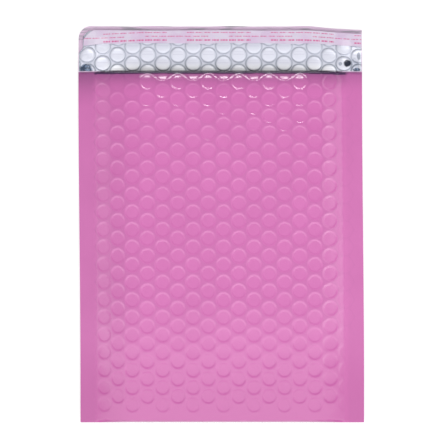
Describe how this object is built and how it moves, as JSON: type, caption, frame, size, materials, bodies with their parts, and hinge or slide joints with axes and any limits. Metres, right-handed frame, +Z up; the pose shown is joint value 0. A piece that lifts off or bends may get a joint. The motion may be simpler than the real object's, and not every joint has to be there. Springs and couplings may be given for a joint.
{
  "type": "padded envelope",
  "caption": "Flat padded film envelope with sealed sides, a bubble-lined pocket and an open flap with a peel-off closure strip.",
  "frame": {"origin": "under the middle of the whole outline, on the surface that the back panel rests on", "axes": "+X across the envelope, +Y from the folded bottom towards the open flap, +Z up out of the front panel"},
  "size_m": [0.18, 0.251, 0.0148],
  "materials": {
    "pink_film": "satin pink film with embossed bubbles",
    "silver_bubble": "clear bubble film over a silvered back",
    "adhesive": "clear pressure-sensitive adhesive",
    "liner": "pale release film with plain printed bars"
  },
  "bodies": {
    "root": {"outer_film": "pink_film", "bubble_lining": "silver_bubble", "adhesive_strip": "adhesive", "release_liner": "liner"}
  },
  "joints": []
}
